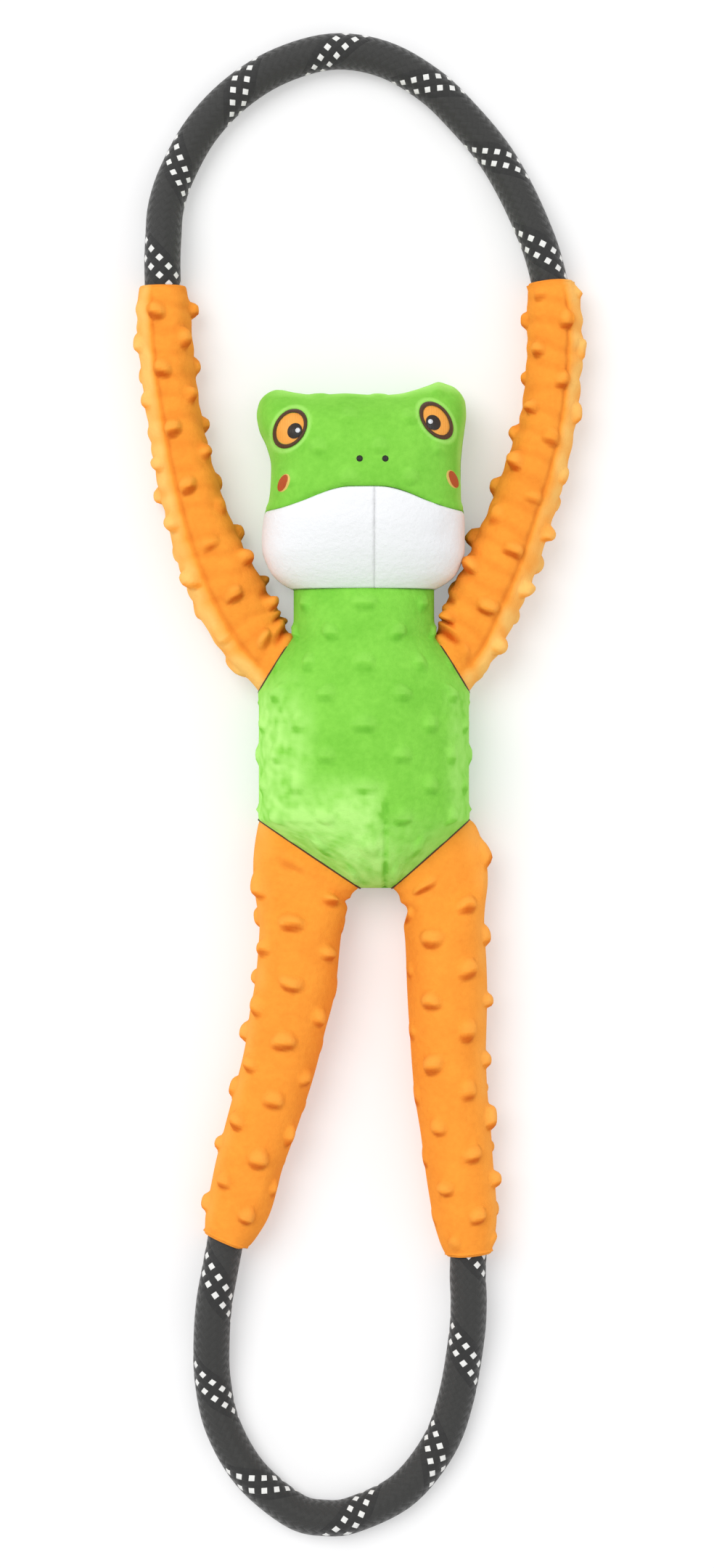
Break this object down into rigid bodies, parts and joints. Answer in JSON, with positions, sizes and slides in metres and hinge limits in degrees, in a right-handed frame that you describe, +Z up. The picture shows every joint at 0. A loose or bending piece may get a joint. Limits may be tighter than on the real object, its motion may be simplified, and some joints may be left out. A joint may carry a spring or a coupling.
{
  "type": "plush rope tug toy",
  "caption": "Frog-shaped plush dog tug toy: stuffed head and body, bumpy plush limbs over one black rope that stands out as a hand loop at each end.",
  "frame": {"origin": "on the floor under the middle of the toy's bounding box, as it lies on its back", "axes": "+Y from the body towards the head and the upper loop, +X to the right as seen from above, +Z up, the way the face looks"},
  "size_m": [0.1839, 0.6236, 0.0567],
  "materials": {
    "rope_black": "matte",
    "green_plush": "matte",
    "orange_plush": "matte",
    "white_plush": "matte",
    "filling": "matte",
    "dark_thread": "satin",
    "black_thread": "satin",
    "orange_thread": "satin",
    "white_thread": "satin",
    "squeaker_rubber": "satin",
    "squeaker_plastic": "matte"
  },
  "bodies": {
    "torso": {"torso_front_panel": "green_plush", "torso_back_panel": "green_plush", "torso_filling": "filling", "left_torso_rope_upper": "rope_black", "left_torso_rope_lower": "rope_black", "right_torso_rope": "rope_black", "rope_joining_band": "filling", "squeaker_bulb": "squeaker_rubber", "squeaker_reed": "squeaker_plastic"},
    "head": {"face_panel": "green_plush", "left_chin_panel": "white_plush", "right_chin_panel": "white_plush", "head_back_panel": "green_plush", "head_filling": "filling", "left_eye_outline": "dark_thread", "right_eye_outline": "dark_thread", "left_iris": "orange_thread", "right_iris": "orange_thread", "left_pupil": "black_thread", "right_pupil": "black_thread", "left_eye_highlight": "white_thread", "right_eye_highlight": "white_thread", "left_nostril": "black_thread", "right_nostril": "black_thread", "left_cheek_mark": "orange_thread", "right_cheek_mark": "orange_thread"},
    "arms": {"left_arm_sleeve": "orange_plush", "left_arm_filling": "filling", "left_arm_rope": "rope_black", "right_arm_sleeve": "orange_plush", "right_arm_filling": "filling", "right_arm_rope": "rope_black"},
    "legs": {"left_leg_sleeve": "orange_plush", "left_leg_filling": "filling", "left_leg_rope": "rope_black", "right_leg_sleeve": "orange_plush", "right_leg_filling": "filling", "right_leg_rope": "rope_black"},
    "upper_loop": {"upper_loop": "rope_black"},
    "lower_loop": {"lower_loop": "rope_black"}
  },
  "joints": [
    {"name": "neck", "type": "hinge", "parent": "torso", "child": "head", "pos_m": [0.0018, 0.08038, 0.016], "axis": [1, 0, 0], "range_deg": [-45, 45]},
    {"name": "shoulders", "type": "hinge", "parent": "torso", "child": "arms", "pos_m": [0.0018, 0.06118, 0.016], "axis": [1, 0, 0], "range_deg": [-75, 75]},
    {"name": "hips", "type": "hinge", "parent": "torso", "child": "legs", "pos_m": [0.0018, -0.04262, 0.016], "axis": [1, 0, 0], "range_deg": [-75, 75]},
    {"name": "upper_loop_hinge", "type": "hinge", "parent": "arms", "child": "upper_loop", "pos_m": [-0.0025, 0.21663, 0.01152], "axis": [1, 0, 0], "range_deg": [-75, 75]},
    {"name": "lower_loop_hinge", "type": "hinge", "parent": "legs", "child": "lower_loop", "pos_m": [-0.0067, -0.20312, 0.01152], "axis": [1, 0, 0], "range_deg": [-75, 75]}
  ]
}
